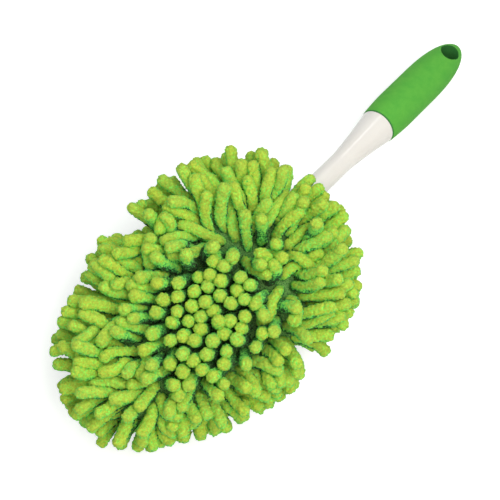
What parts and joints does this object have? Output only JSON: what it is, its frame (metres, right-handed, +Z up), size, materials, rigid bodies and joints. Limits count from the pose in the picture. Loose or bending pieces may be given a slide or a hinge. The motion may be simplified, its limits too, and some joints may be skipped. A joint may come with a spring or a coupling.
{
  "type": "duster",
  "caption": "Hand duster with an egg-shaped pull-off chenille cover over a moulded paddle, a bent plastic neck and a soft grip with a hang hole.",
  "frame": {"origin": "centre of the bounding box, on the surface that the duster lies on", "axes": "+X along the duster from the head's far end to the grip's tip, +Y across it, +Z up out of the dusting face"},
  "size_m": [0.4251, 0.1734, 0.1068],
  "materials": {
    "chenille": "cut chenille pile, lime green, fully rough",
    "seam_tape": "woven elastic tape, green",
    "foam": "open-cell foam, cream",
    "soft_grip": "matt thermoplastic rubber, green",
    "white_plastic": "satin moulded plastic, warm white",
    "frame_plastic": "moulded plastic, warm white",
    "steel_pin": "plain steel pin"
  },
  "bodies": {
    "handle": {"grip": "soft_grip", "neck": "white_plastic", "paddle_frame": "frame_plastic", "retaining_pin": "steel_pin"},
    "cover": {"front_panel_1": "chenille", "front_panel_2": "chenille", "front_panel_3": "chenille", "front_panel_4": "chenille", "front_edge_1": "chenille", "front_edge_2": "chenille", "front_edge_3": "chenille", "front_edge_4": "chenille", "front_edge_5": "chenille", "front_edge_6": "chenille", "front_edge_7": "chenille", "front_edge_8": "chenille", "back_panel_1": "chenille", "back_panel_2": "chenille", "back_panel_3": "chenille", "back_panel_4": "chenille", "back_edge_1": "chenille", "back_edge_2": "chenille", "back_edge_3": "chenille", "back_edge_4": "chenille", "back_edge_5": "chenille", "back_edge_6": "chenille", "back_edge_7": "chenille", "back_edge_8": "chenille", "front_pad": "foam", "back_pad": "foam", "side_seam": "seam_tape", "mouth_hem_front": "seam_tape", "mouth_hem_back": "seam_tape"}
  },
  "joints": [
    {"name": "cover_slide", "type": "slide", "parent": "handle", "child": "cover", "axis": [-0.9904, 0, -0.1385], "range_m": [0, 0.2]}
  ]
}
